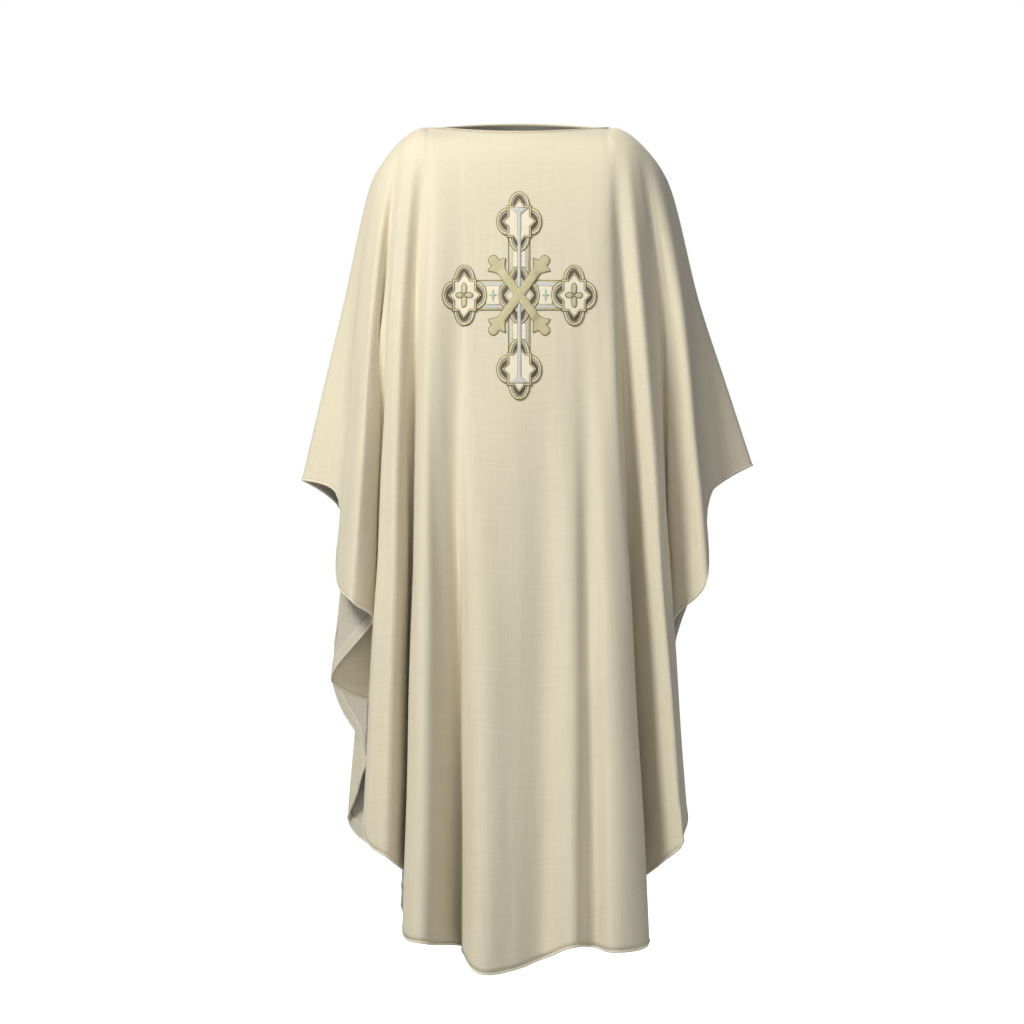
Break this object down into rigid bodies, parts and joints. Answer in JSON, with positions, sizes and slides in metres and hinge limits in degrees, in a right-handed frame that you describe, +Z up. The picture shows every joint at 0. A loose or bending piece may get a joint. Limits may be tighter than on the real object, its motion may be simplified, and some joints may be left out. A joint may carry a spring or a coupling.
{
  "type": "chasuble",
  "caption": "Wide sleeveless church vestment of plain cream cloth, hung in deep folds from the shoulders, with a gold cross emblem on the chest.",
  "frame": {"origin": "middle of the neck opening, level with the two points where the shoulder seams meet the neck", "axes": "+Z up, -Y out of the front, +X to the right of someone who looks at the front"},
  "size_m": [0.7097, 0.4452, 1.3149],
  "materials": {
    "vestment_cloth": "matt woven cloth",
    "facing_cloth": "matt woven cloth, inner side",
    "hem_tape": "matt cotton tape",
    "gold_thread": "satin stitch in dull gold thread",
    "pale_gold_thread": "satin stitch in pale gold thread",
    "olive_thread": "dark filling stitch",
    "silver_thread": "satin stitch in pale grey thread",
    "cream_applique": "plain cloth applique",
    "mint_thread": "satin stitch in pale green thread"
  },
  "bodies": {
    "root": {"front_panel": "vestment_cloth", "back_panel": "vestment_cloth", "front_neck_facing": "facing_cloth", "back_neck_facing": "facing_cloth", "front_hem_tape": "hem_tape", "back_hem_tape": "hem_tape", "left_shoulder_tape": "hem_tape", "right_shoulder_tape": "hem_tape", "emblem_backing": "cream_applique", "cross_ground": "olive_thread", "top_medallion_frame": "gold_thread", "bottom_medallion_frame": "gold_thread", "left_medallion_frame": "gold_thread", "right_medallion_frame": "gold_thread", "top_star_frame": "pale_gold_thread", "bottom_star_frame": "pale_gold_thread", "left_star_frame": "pale_gold_thread", "right_star_frame": "pale_gold_thread", "left_rosette": "gold_thread", "right_rosette": "gold_thread", "upper_arm_window": "cream_applique", "lower_arm_window": "cream_applique", "left_arm_window": "cream_applique", "right_arm_window": "cream_applique", "left_small_cross": "mint_thread", "right_small_cross": "mint_thread", "centre_ring": "gold_thread", "centre_lozenge": "cream_applique", "saltire": "gold_thread", "staff": "silver_thread"}
  },
  "joints": []
}
